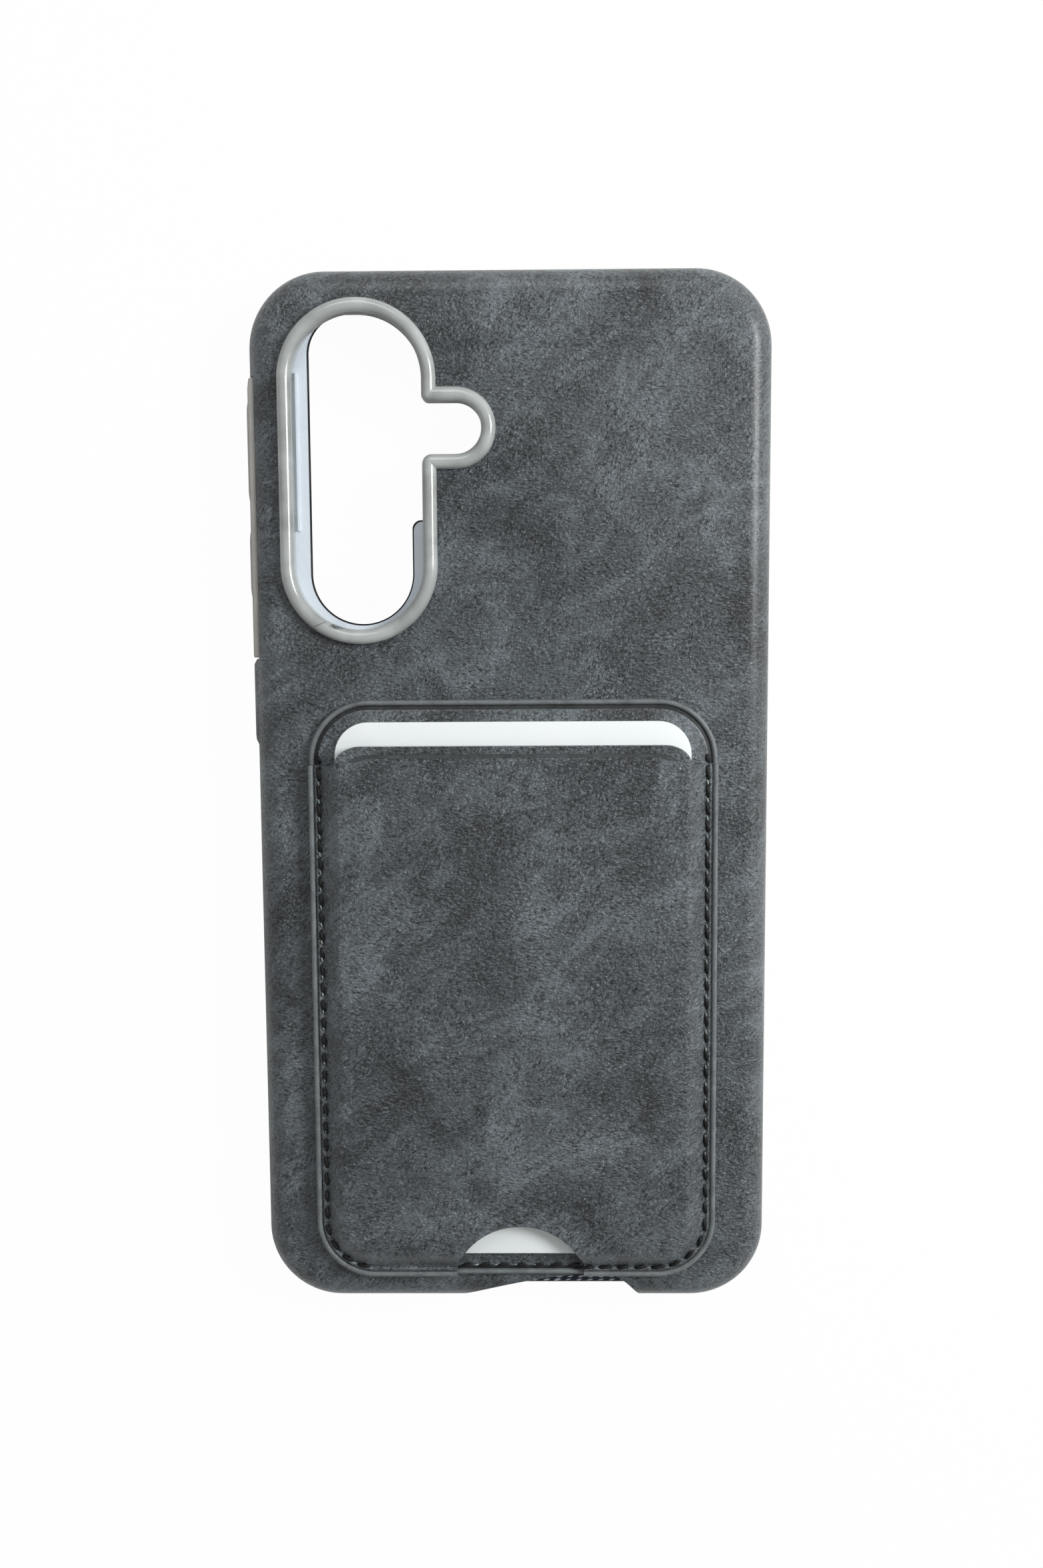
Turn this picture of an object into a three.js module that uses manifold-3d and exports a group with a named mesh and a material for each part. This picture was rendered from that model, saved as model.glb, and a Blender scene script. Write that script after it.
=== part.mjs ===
// Phone case with a stitched card pocket on its back, in millimetres with +Z up.
// It lies on its front lip with its back face up, and +Y is the end with the camera opening.
import * as THREE from "three";
import { mergeVertices } from "three/addons/utils/BufferGeometryUtils.js";
import Module from "manifold-3d";

const wasm = await Module();
wasm.setup();

// The phone that the case is made for, and the running gap round it
const phoneWidth = 77.5;
const phoneLength = 161.6;
const phoneThickness = 7.4;
const phoneCorner = 10;
const phoneGap = 0.15;

// Walls and layers, from the front lip up to the leather back
const lipHeight = 1;
const lipOverhang = 1.3;
const lipEdgeRadius = 0.9;
const frameWall = 1.15;
const bandHeight = 4.2; // bare lower part of the frame, flush with the leather above it
const liningGap = 0.1;
const liningThickness = 0.4;
const shellThickness = 1.15;
const leatherThickness = 0.6;
const glueGap = 0.05;
const backEdgeRadius = 4;

// Camera opening: an upright slot with a round tab for the flash, and the rim round it
const cameraWidth = 20.05;
const cameraLength = 48.45;
const cameraFromSide = 7;
const cameraFromTop = 6.85;
const flashHeight = 8;
const flashReach = 9.2;
const flashFromTop = 17.5;
const flashFilletUpper = 1;
const flashFilletLower = 1.5;
const rimWidth = 2.25;
const rimRise = 1.8;
const rimSide = 0.6; // straight foot of the bead
const sleeveWall = 1;
const sleeveGap = 0.1;

// Ledge of the back shell inside the rim, which the flash tab and the top leave free
const ledgeThickness = 0.5;
const ledgeLeft = 2.2;
const ledgeRight = 1.55;
const ledgeBottom = 0.6;
const ledgeUpToFlash = 10.2; // the right-hand ledge stops this far under the tab
const ledgeStepCurve = 1.4;
const ledgeTopCorner = 6;
const ledgeRibLength = 24.3;
const ledgeRibWidth = 0.5;
const ledgeRibHeight = 0.4;
const ledgeRibGap = 0.3;
const ledgeRibFromTop = 8.8;
const liningPeek = 0.25; // how far the lining shows past the edge of the ledge

// Keys on the left side, measured along the case from its top end
const railStart = 15.95;
const railWindow = 44; // length of the open window in the leather
const railProud = 0.2;
const railEdge = 0.25;
const railTail = 44; // where the swelling has died away, past the window
const keyHeight = 5.4;
const keyProud = 0.4;
const keyRelief = 0.5; // depth of the recess behind each key
const recessMargin = 1.5; // a recess is this much smaller than its key
const volumeUpFrom = 3;
const volumeUpLength = 17;
const volumeDownFrom = 23;
const volumeDownLength = 12;
const powerFrom = 0.3; // past the end of the window
const powerLength = 12.7;
const powerHeight = 3.8;
const powerProud = 0.45;
const windowGap = 0.3;
const windowRise = 0.2; // above the underside of the back shell

// Port opening in the bottom edge, lopsided: a long rise, then a short steep flank
const portLeft = -9.5;
const portRight = 20.7;
const portPeakX = 13.6;
const portDepth = 4.75;
const bridgeRise = 0.5; // of the bridge under the opening, above the front lip
const portSetback = 0.4; // of the hard layers behind the edge of the leather
const tapeThickness = 0.4;
const tapeFromLeft = 4.5;
const tapeFromRight = 1.9;

// Card pocket: a base panel, and a front panel pressed over the card and sewn on three sides
const pocketWidth = 64.55;
const pocketCorner = 9.5;
const pocketFromBottom = 5.15; // clear of the case's bottom edge
const pocketUnderRim = 8.8; // clear of the camera rim
const pocketShift = 0.1;
const baseThickness = 1.2;
const panelThickness = 1.1;
const beadWidth = 0.85;
const beadDrop = 0.45;
const creaseWidth = 0.35;
const stitchInset = 1.7;
const stitchGroove = 0.45;
const stitchDepth = 0.2;
const shoulderInset = 2;
const shoulderWidth = 2.35;
const pocketRise = 2.2;
const mouthFromTop = 7;
const mouthTongue = 3.1; // how far the raised body stands above the ends of the flange
const mouthCorner = 4.2;
const mouthBand = 1.25;
const mouthCrease = 0.3;
const mouthCreaseDepth = 0.15;
const thumbWidth = 20.6;
const thumbArc = 7;
const thumbFoot = 2.4;
const thumbShift = 0.7;

// Card in the pocket, set in from the pocket's own edges
const cardFromSide = 4.25;
const cardFromTop = 3.4;
const cardFromBottom = 3.9;
const cardThickness = 0.8;
const cardCorner = 5.2;
const cardEdge = 0.1;

// Fineness of the curves
const cornerSteps = 8;
const edgeSteps = 5;
const shoulderSteps = 5;
const sliver = 0.02; // shortest straight stretch or radius that a curve is left with
const past = 2; // how far a cutter runs past the face that it cuts

// Sizes outward from the phone's outline
const cavity = phoneGap;
const frameFace = phoneGap + frameWall;
const leatherInside = frameFace + glueGap;
const leatherFace = leatherInside + leatherThickness;

// Heights above the surface that the lip lies on
const liningZ = lipHeight + phoneThickness + liningGap;
const shellZ = liningZ + liningThickness;
const backZ = shellZ + shellThickness + glueGap + leatherThickness;
const ledgeZ = shellZ + ledgeThickness;
const bridgeZ = lipHeight + bridgeRise;
const shellDepth = leatherThickness + glueGap;

const caseLeft = -phoneWidth / 2 - leatherFace;
const caseTop = phoneLength / 2 + leatherFace;
const caseBottom = -caseTop;

function solidOf(geometry) {
  geometry.deleteAttribute("normal");
  geometry.deleteAttribute("uv");
  const merged = mergeVertices(geometry, 1e-4);
  return new wasm.Manifold(
    new wasm.Mesh({
      numProp: 3,
      vertProperties: merged.attributes.position.array,
      triVerts: new Uint32Array(merged.index.array),
    }),
  );
}

function meshOf(name, solid, material) {
  const { vertProperties, triVerts } = solid.getMesh();
  const geometry = new THREE.BufferGeometry();
  geometry.setAttribute("position", new THREE.BufferAttribute(vertProperties, 3));
  geometry.setIndex(new THREE.BufferAttribute(triVerts, 1));
  geometry.computeVertexNormals();
  const mesh = new THREE.Mesh(geometry, material);
  mesh.name = name;
  return mesh;
}

// An outline is a ring of right-angled corners, counter-clockwise, each with its own fillet
function rectangle(width, length, radius, x = 0, y = 0) {
  const signs = [[-1, -1], [1, -1], [1, 1], [-1, 1]];
  return signs.map(([sx, sy]) => ({ x: x + (sx * width) / 2, y: y + (sy * length) / 2, radius }));
}

function directions(outline, i) {
  const corner = new THREE.Vector2(outline[i].x, outline[i].y);
  const before = outline.at(i - 1);
  const after = outline[(i + 1) % outline.length];
  const into = corner.clone().sub(before).normalize();
  const away = new THREE.Vector2(after.x, after.y).sub(corner).normalize();
  return { corner, into, away };
}

// Every side moves outward; an outer corner opens up by as much as an inner one tightens
function grow(outline, by) {
  return outline.map(({ x, y, radius }, i) => {
    const { into, away } = directions(outline, i);
    const turn = Math.sign(into.cross(away));
    return {
      x: x + by * (into.y + away.y),
      y: y - by * (into.x + away.x),
      radius: Math.max(radius + by * turn, sliver),
    };
  });
}

function trace(outline) {
  return outline.flatMap(({ radius }, i) => {
    const { corner, into, away } = directions(outline, i);
    const centre = corner.clone().addScaledVector(into, -radius).addScaledVector(away, radius);
    return Array.from({ length: cornerSteps + 1 }, (_, step) => {
      const angle = (step / cornerSteps) * (Math.PI / 2);
      const point = centre.clone().addScaledVector(into, radius * Math.sin(angle));
      return point.addScaledVector(away, -radius * Math.cos(angle));
    });
  });
}

// A solid through one outline at many sizes and heights, given as pairs of growth and height.
// It has flat caps, or where the profile closes on itself it is a ring.
function loftGeometry(outline, profile, closed = false) {
  const rings = profile.map(([by, z]) => trace(grow(outline, by)).map(({ x, y }) => [x, y, z]));
  const count = rings[0].length;
  const index = [];
  const joins = closed ? rings.length : rings.length - 1;
  for (let ring = 0; ring < joins; ring++) {
    const lower = ring * count;
    const upper = ((ring + 1) % rings.length) * count;
    for (let i = 0; i < count; i++) {
      const next = (i + 1) % count;
      index.push(lower + i, lower + next, upper + next);
      index.push(lower + i, upper + next, upper + i);
    }
  }
  if (!closed) {
    const flat = (ring) => ring.map(([x, y]) => new THREE.Vector2(x, y));
    const top = (rings.length - 1) * count;
    for (const [a, b, c] of THREE.ShapeUtils.triangulateShape(flat(rings[0]), [])) index.push(c, b, a);
    for (const face of THREE.ShapeUtils.triangulateShape(flat(rings.at(-1)), []))
      index.push(...face.map((i) => top + i));
  }
  const geometry = new THREE.BufferGeometry();
  geometry.setAttribute("position", new THREE.Float32BufferAttribute(rings.flat(2), 3));
  geometry.setIndex(index);
  return geometry;
}

const loft = (...form) => solidOf(loftGeometry(...form));

function prism(shape, from, to) {
  const settings = { depth: to - from, bevelEnabled: false, curveSegments: 2 * cornerSteps };
  return solidOf(new THREE.ExtrudeGeometry(shape, settings).translate(0, 0, from));
}

// Part of an ellipse as profile points, with its angles in quarter turns from the outside
function curve(centre, z, width, height, from, to, steps) {
  return Array.from({ length: steps + 1 }, (_, i) => {
    const angle = ((from + ((to - from) * i) / steps) * Math.PI) / 2;
    return [centre + width * Math.cos(angle), z + height * Math.sin(angle)];
  });
}

const phone = rectangle(phoneWidth, phoneLength, phoneCorner);

// The rounded back edge at a depth under the leather's face, between two quarter-turn shares
function backEdge(depth, from = 0, to = 1) {
  const radius = backEdgeRadius - depth;
  const centre = leatherFace - backEdgeRadius;
  return curve(centre, backZ - backEdgeRadius, radius, radius, from, to, edgeSteps);
}

// The share of the back edge at which the frame's wall ends and the shell begins
const wallTop = (shellZ - backZ + backEdgeRadius) / (backEdgeRadius - shellDepth);
const wallTopShare = Math.asin(wallTop) / (Math.PI / 2);

const cameraLeft = caseLeft + cameraFromSide;
const cameraRight = cameraLeft + cameraWidth;
const cameraTop = caseTop - cameraFromTop;
const cameraBottom = cameraTop - cameraLength;
const flashRight = cameraRight + flashReach;
const flashY = cameraTop - flashFromTop;
const flashBottom = flashY - flashHeight / 2;
const flashTop = flashY + flashHeight / 2;
const slotEnd = cameraWidth / 2 - sliver;
const flashEnd = flashHeight / 2 - sliver;
const corner = (x, y, radius) => ({ x, y, radius });

const cameraOutline = [
  corner(cameraLeft, cameraBottom, slotEnd),
  corner(cameraRight, cameraBottom, slotEnd),
  corner(cameraRight, flashBottom, flashFilletLower),
  corner(flashRight, flashBottom, flashEnd),
  corner(flashRight, flashTop, flashEnd),
  corner(cameraRight, flashTop, flashFilletUpper),
  corner(cameraRight, cameraTop, slotEnd),
  corner(cameraLeft, cameraTop, slotEnd),
];

// The shell's own opening: it leaves a ledge at the left, the lower right and the bottom
const ledgeInnerLeft = cameraLeft + ledgeLeft;
const ledgeInnerRight = cameraRight - ledgeRight;
const ledgeInnerBottom = cameraBottom + ledgeBottom;
const ledgeEnd = (ledgeInnerRight - ledgeInnerLeft) / 2 - sliver;
const ledgeStep = flashBottom - ledgeUpToFlash;
const ledgeOutline = (peek) => [
  corner(ledgeInnerLeft + peek, ledgeInnerBottom + peek, ledgeEnd - peek),
  corner(ledgeInnerRight - peek, ledgeInnerBottom + peek, ledgeEnd - peek),
  corner(ledgeInnerRight - peek, ledgeStep + peek, ledgeStepCurve),
  corner(cameraRight, ledgeStep + peek, sliver),
  corner(cameraRight, flashBottom, flashFilletLower),
  corner(flashRight, flashBottom, flashEnd),
  corner(flashRight, flashTop, flashEnd),
  corner(cameraRight, flashTop, flashFilletUpper),
  corner(cameraRight, cameraTop, slotEnd),
  corner(ledgeInnerLeft + peek, cameraTop, ledgeTopCorner),
];

// The port opening in plan, cut back further where margin is more
function portCut(margin, from, to) {
  const peak = caseBottom + portDepth + margin;
  const left = portLeft - margin;
  const right = portRight + margin;
  const rise = portPeakX - left;
  const fall = right - portPeakX;
  const shape = new THREE.Shape();
  shape.moveTo(left, caseBottom - past);
  shape.lineTo(right, caseBottom - past);
  shape.lineTo(right, caseBottom);
  shape.bezierCurveTo(right - fall * 0.25, caseBottom + portDepth * 0.45, // steep flank
    right - fall * 0.4, peak, portPeakX, peak);
  shape.bezierCurveTo(portPeakX - rise * 0.35, peak, // long rise
    left + rise * 0.2, caseBottom + portDepth * 0.5, left, caseBottom);
  return prism(shape, from, to);
}

// Keys: the rail swells out of the frame's left side and fills the window in the leather
const railTop = caseTop - railStart;
const windowBottom = railTop - railWindow;
const keySide = caseLeft - railProud;
const keyZ = (shellZ + lipHeight) / 2 + keyProud;

function keyRail() {
  const root = -phoneWidth / 2 - cavity - frameWall / 2;
  const fade = railEdge * 8;
  const windowPart = new THREE.Shape();
  windowPart.moveTo(root, windowBottom + windowGap);
  windowPart.lineTo(root, railTop - windowGap);
  windowPart.lineTo(caseLeft, railTop - windowGap);
  windowPart.lineTo(keySide, railTop - fade);
  windowPart.lineTo(keySide, windowBottom + windowGap);
  const tail = new THREE.Shape();
  tail.moveTo(root, railTop - windowGap);
  tail.lineTo(caseLeft, railTop - windowGap);
  tail.lineTo(keySide, railTop - fade);
  tail.lineTo(keySide, windowBottom - powerFrom - powerLength);
  tail.quadraticCurveTo(caseLeft, windowBottom - powerLength * 1.6, caseLeft, windowBottom - railTail);
  tail.lineTo(root, windowBottom - railTail);
  const soft = { bevelThickness: railEdge, bevelSize: railEdge, bevelOffset: -railEdge, bevelSegments: 2 };
  const soften = (shape, from, to) => {
    const settings = { ...soft, depth: to - from - 2 * railEdge };
    return solidOf(new THREE.ExtrudeGeometry(shape, settings).translate(0, 0, from + railEdge));
  };
  return soften(windowPart, lipEdgeRadius, shellZ).add(soften(tail, lipEdgeRadius, bandHeight));
}

// A soft pad for a key on the left side, standing proud of x and sunk behind it
function sidePad({ y, z, length, height }, x, proud, sink) {
  const profile = [[0, -sink], ...curve(-2 * proud, 0, 2 * proud, proud, 0, 1, 3)];
  const geometry = loftGeometry(rectangle(length, height, height / 2 - sliver), profile);
  geometry.rotateX(Math.PI / 2).rotateZ(-Math.PI / 2);
  return solidOf(geometry.translate(x, y, z));
}

const volumeKeys = [[volumeUpFrom, volumeUpLength], [volumeDownFrom, volumeDownLength]].map(
  ([from, length]) => ({ y: railTop - from - length / 2, z: keyZ, length, height: keyHeight }),
);
const powerKey = {
  y: windowBottom - powerFrom - powerLength / 2,
  z: (bandHeight + shellZ) / 2,
  length: powerLength,
  height: powerHeight,
};

function makeSideFrame() {
  const outside = loft(phone, [
    ...curve(leatherFace - lipEdgeRadius, lipEdgeRadius, lipEdgeRadius, lipEdgeRadius, -1, 0, 3),
    [leatherFace, bandHeight],
    [frameFace, bandHeight],
    ...backEdge(shellDepth, 0, wallTopShare),
  ]);
  const inside = loft(phone, [
    [-lipOverhang, -past],
    [-lipOverhang, lipHeight],
    [cavity, lipHeight],
    [cavity, shellZ + past],
  ]);
  let frame = outside.add(keyRail());
  for (const key of volumeKeys) frame = frame.add(sidePad(key, keySide, keyProud, frameWall));
  frame = frame.subtract(inside);
  const wallInside = -phoneWidth / 2 - cavity;
  for (const key of [...volumeKeys, powerKey]) {
    const recess = { ...key, length: key.length - recessMargin, height: key.height - recessMargin };
    frame = frame.subtract(sidePad(recess, wallInside, keyRelief, frameWall));
  }
  return frame.subtract(portCut(portSetback, bridgeZ, backZ + past));
}

function makeBackShell() {
  const plate = loft(phone, backEdge(shellDepth, wallTopShare, 1));
  const seat = loft(grow(cameraOutline, sleeveWall + sleeveGap), [[0, ledgeZ], [0, backZ]]);
  const opening = loft(ledgeOutline(0), [[0, shellZ - past], [0, backZ]]);
  const ribX = cameraLeft + ledgeRibGap + ledgeRibWidth / 2;
  const ribY = cameraTop - ledgeRibFromTop - ledgeRibLength / 2;
  const rib = rectangle(ledgeRibWidth, ledgeRibLength, ledgeRibWidth / 4, ribX, ribY);
  const ribSolid = loft(rib, [[0, shellZ + ledgeThickness / 2], [0, ledgeZ + ledgeRibHeight]]);
  const port = portCut(portSetback, shellZ - past, backZ);
  return plate.subtract(seat).subtract(opening).add(ribSolid).subtract(port);
}

function makeLining() {
  const sheet = loft(phone, [[0, liningZ], [0, shellZ]]);
  const opening = loft(ledgeOutline(liningPeek), [[0, liningZ - past], [0, shellZ + past]]);
  return sheet.subtract(opening).subtract(portCut(portSetback, liningZ - past, shellZ + past));
}

function makeLeatherCover() {
  const face = loft(phone, [[leatherFace, bandHeight + glueGap], ...backEdge(0)]);
  const hollow = loft(phone, [[leatherInside, bandHeight - past], ...backEdge(leatherThickness)]);
  const hole = loft(grow(cameraOutline, sleeveWall + sleeveGap), [[0, shellZ], [0, backZ + past]]);
  const window = new THREE.Shape();
  const windowRoot = -phoneWidth / 2 - cavity;
  window.moveTo(caseLeft - past, windowBottom);
  window.lineTo(windowRoot, windowBottom);
  window.lineTo(windowRoot, railTop);
  window.lineTo(caseLeft - past, railTop);
  const power = sidePad(powerKey, caseLeft, powerProud, leatherThickness * 0.8);
  return face
    .add(power)
    .subtract(hollow)
    .subtract(hole)
    .subtract(prism(window, bandHeight - past, shellZ + windowRise))
    .subtract(portCut(0, bandHeight - past, backZ + past));
}

// The rim: a rounded bead on the leather, with a sleeve down to the ledge of the shell
function makeCameraRim() {
  const middle = rimWidth / 2;
  const foot = backZ + glueGap;
  const profile = [
    [sleeveWall, ledgeZ],
    [sleeveWall, foot],
    [rimWidth, foot],
    ...curve(middle, backZ + rimSide, middle, rimRise - rimSide, 0, 2, 2 * edgeSteps),
    [0, ledgeZ],
  ];
  return loft(cameraOutline, profile, true);
}

// The tape lies on the bridge under the opening and is folded down over its outer face
function makePortTape() {
  const left = portLeft + tapeFromLeft;
  const right = portRight - tapeFromRight;
  const inside = -phoneLength / 2 - cavity;
  const outside = caseBottom - glueGap - tapeThickness;
  const strip = (from, to, low) => {
    const form = rectangle(right - left, to - from, tapeThickness / 2, (left + right) / 2, (from + to) / 2);
    const top = bridgeZ + tapeThickness;
    const fold = tapeThickness / 3;
    return loft(form, [[0, low], [0, top - fold], [-fold, top]]);
  };
  return strip(outside, inside, bridgeZ).add(strip(outside, caseBottom - glueGap, lipEdgeRadius));
}

// Pocket pieces stand in the pocket's own frame: its middle, on the leather
const pocketFoot = caseBottom + pocketFromBottom;
const pocketLength = cameraBottom - rimWidth - pocketUnderRim - pocketFoot;
const pocket = rectangle(pocketWidth, pocketLength, pocketCorner);
const pocketTop = pocketLength / 2;

// A sheet's edge that ends in a soft bead with a crease behind it
function beadEdge(z) {
  return [
    ...curve(-beadWidth / 2, z - beadDrop, beadWidth / 2, beadDrop, 0, 2, 6),
    [-beadWidth - creaseWidth, z],
  ];
}

// The pressed shoulder, from the flange up to the raised body
function shoulder(z) {
  return Array.from({ length: shoulderSteps + 1 }, (_, i) => {
    const share = i / shoulderSteps;
    const rise = (pocketRise * (1 - Math.cos(Math.PI * share))) / 2;
    return [-shoulderInset - shoulderWidth * share, z + rise];
  });
}

// Plan of the front panel: a straight flange at each side, and a raised tongue with round corners
function mouthCut(inset, from, to) {
  const half = pocketWidth / 2;
  const body = half - shoulderInset - shoulderWidth - inset;
  const mouth = pocketTop - mouthFromTop - inset;
  const flange = mouth - mouthTongue;
  const shape = new THREE.Shape();
  shape.moveTo(-half - past, -pocketTop - past);
  shape.lineTo(half + past, -pocketTop - past);
  shape.lineTo(half + past, flange);
  shape.lineTo(body, flange);
  shape.absellipse(body - mouthCorner, flange, mouthCorner, mouthTongue, 0, Math.PI / 2, false);
  shape.absellipse(mouthCorner - body, flange, mouthCorner, mouthTongue, Math.PI / 2, Math.PI, false);
  shape.lineTo(-half - past, flange);
  return prism(shape, from, to);
}

function thumbCut(from, to) {
  const half = thumbWidth / 2;
  const radius = (half ** 2 + thumbArc ** 2) / (2 * thumbArc);
  const foot = -pocketTop + thumbFoot;
  const centreY = foot + thumbArc - radius;
  const swing = Math.atan2(foot - centreY, half);
  const shape = new THREE.Shape();
  shape.moveTo(thumbShift - half, -pocketTop - past);
  shape.lineTo(thumbShift + half, -pocketTop - past);
  shape.absarc(thumbShift, centreY, radius, swing, Math.PI - swing, false);
  return prism(shape, from, to);
}

function makePocketBase() {
  return loft(pocket, [[0, 0], ...beadEdge(baseThickness)]);
}

function makePocketFront() {
  const flangeZ = baseThickness + panelThickness;
  const groove = stitchGroove / 2;
  const face = loft(pocket, [
    [0, baseThickness],
    ...beadEdge(flangeZ),
    [groove - stitchInset, flangeZ],
    [groove / 2 - stitchInset, flangeZ - stitchDepth],
    [-groove / 2 - stitchInset, flangeZ - stitchDepth],
    [-groove - stitchInset, flangeZ],
    ...shoulder(flangeZ),
  ]);
  const hollow = loft(pocket, [[-shoulderInset, baseThickness - past], ...shoulder(baseThickness)]);
  const roofZ = flangeZ + pocketRise;
  const creaseZ = roofZ - mouthCreaseDepth;
  const crease = mouthCut(mouthBand, creaseZ, roofZ + past).subtract(
    mouthCut(mouthBand + mouthCrease, creaseZ - past, roofZ + 2 * past),
  );
  return face
    .subtract(hollow)
    .intersect(mouthCut(0, -past, roofZ + past))
    .subtract(crease)
    .subtract(thumbCut(-past, roofZ + past));
}

function makeCard() {
  const width = pocketWidth - 2 * cardFromSide;
  const length = pocketLength - cardFromTop - cardFromBottom;
  const y = (cardFromBottom - cardFromTop) / 2;
  const top = baseThickness + cardThickness;
  return loft(rectangle(width, length, cardCorner, 0, y), [
    [-cardEdge, baseThickness],
    [0, baseThickness + cardEdge],
    [0, top - cardEdge],
    [-cardEdge, top],
  ]);
}

const finish = (color, roughness, metalness = 0) =>
  new THREE.MeshStandardMaterial({ color, roughness, metalness });
const greyFrame = finish(0x8d8e8a, 0.55);
const paleShell = finish(0xccd6df, 0.4);
const darkLining = finish(0x2b2d31, 0.95);
const greyLeather = finish(0x555b5f, 0.75);
const darkTape = finish(0x4a525c, 0.8);
const paleRim = finish(0xc2c8c5, 0.3, 0.2);
const whiteCard = finish(0xf4fcfb, 0.5);

const phoneCase = new THREE.Group();
phoneCase.add(
  meshOf("side_frame", makeSideFrame(), greyFrame),
  meshOf("back_shell", makeBackShell(), paleShell),
  meshOf("lining", makeLining(), darkLining),
  meshOf("leather_cover", makeLeatherCover(), greyLeather),
  meshOf("camera_rim", makeCameraRim(), paleRim),
  meshOf("port_tape", makePortTape(), darkTape),
);

const cardPocket = new THREE.Group();
cardPocket.position.set(pocketShift, pocketFoot + pocketTop, backZ);
cardPocket.add(
  meshOf("pocket_base", makePocketBase(), greyLeather),
  meshOf("pocket_front", makePocketFront(), greyLeather),
  meshOf("card", makeCard(), whiteCard),
);
phoneCase.add(cardPocket);

export default phoneCase;
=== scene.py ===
from math import asin, atan2, cos, exp, pi, radians, sin

import bpy
from mathutils import Matrix, Vector
from mathutils.kdtree import KDTree


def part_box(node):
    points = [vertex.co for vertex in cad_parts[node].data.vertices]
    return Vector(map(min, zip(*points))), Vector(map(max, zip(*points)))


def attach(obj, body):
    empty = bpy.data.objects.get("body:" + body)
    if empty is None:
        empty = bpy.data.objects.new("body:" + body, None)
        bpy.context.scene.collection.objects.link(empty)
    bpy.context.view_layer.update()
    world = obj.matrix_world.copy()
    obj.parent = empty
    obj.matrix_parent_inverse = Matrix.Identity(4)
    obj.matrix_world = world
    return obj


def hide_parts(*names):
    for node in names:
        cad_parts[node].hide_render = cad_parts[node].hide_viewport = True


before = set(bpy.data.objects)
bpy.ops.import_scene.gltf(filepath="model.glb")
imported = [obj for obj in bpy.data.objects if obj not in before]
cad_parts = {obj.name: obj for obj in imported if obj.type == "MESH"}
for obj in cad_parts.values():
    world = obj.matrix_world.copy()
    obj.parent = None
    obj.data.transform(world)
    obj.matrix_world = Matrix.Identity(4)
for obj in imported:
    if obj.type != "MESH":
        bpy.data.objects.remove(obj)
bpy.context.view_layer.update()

mm = 0.001


def boxInMm(node):
    low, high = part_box(node)
    return low / mm, high / mm


_, coverHigh = boxInMm("leather_cover")
shellLow, _ = boxInMm("back_shell")
liningLow, liningHigh = boxInMm("lining")
rimLow, rimHigh = boxInMm("camera_rim")
baseLow, baseHigh = boxInMm("pocket_base")
_, frontHigh = boxInMm("pocket_front")
cardLow, cardHigh = boxInMm("card")
tapeLow, tapeHigh = boxInMm("port_tape")

caseWidth = 2 * coverHigh.x
caseLength = 2 * coverHigh.y
caseLeft = -coverHigh.x
caseTop = coverHigh.y
backZ = coverHigh.z
print("frame read: case", round(caseWidth, 2), "x", round(caseLength, 2), "mm")

# Camera, as fitted to the outline in the photograph
shot = {
    "place": (5.163, 33.228, 267.885),   # mm
    "view": (-0.0144435, -0.1168544, -0.9930440),
    "up": (0.0045659, 0.9931296, -0.1169308),
    "lens": 37.54,   # on a 36 mm sensor along the long side
}


def addCamera():
    data = bpy.data.cameras.new("caseCamera")
    data.sensor_fit = "AUTO"
    data.sensor_width = 36
    data.lens = shot["lens"]
    data.clip_start = 0.01
    camera = bpy.data.objects.new("caseCamera", data)
    back = -Vector(shot["view"]).normalized()
    right = Vector(shot["up"]).cross(back).normalized()
    up = back.cross(right)
    camera.matrix_world = Matrix((
        (right.x, up.x, back.x, shot["place"][0] * mm),
        (right.y, up.y, back.y, shot["place"][1] * mm),
        (right.z, up.z, back.z, shot["place"][2] * mm),
        (0, 0, 0, 1)))
    bpy.context.scene.collection.objects.link(camera)
    bpy.context.scene.camera = camera


addCamera()

# Studio: a big soft lamp to the right, a weaker one behind the camera end, and an even sky
studio = {
    "sky": 0.40,
    "floorSize": 3.0,
    "floorTone": 0.95,
    "floorGlow": 0.97,   # share of the floor's colour that a camera ray sees unshaded
    "lamps": (   # name, place in metres, size, power
        ("keyLamp", (0.40, 0.14, 0.36), 0.22, 2.3),
        ("topLamp", (-0.05, 0.42, 0.40), 0.30, 0.65),
    ),
}


def linear(tone):
    return tuple(c / 12.92 if c <= 0.04045 else ((c + 0.055) / 1.055) ** 2.4 for c in tone) + (1.0,)


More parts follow.
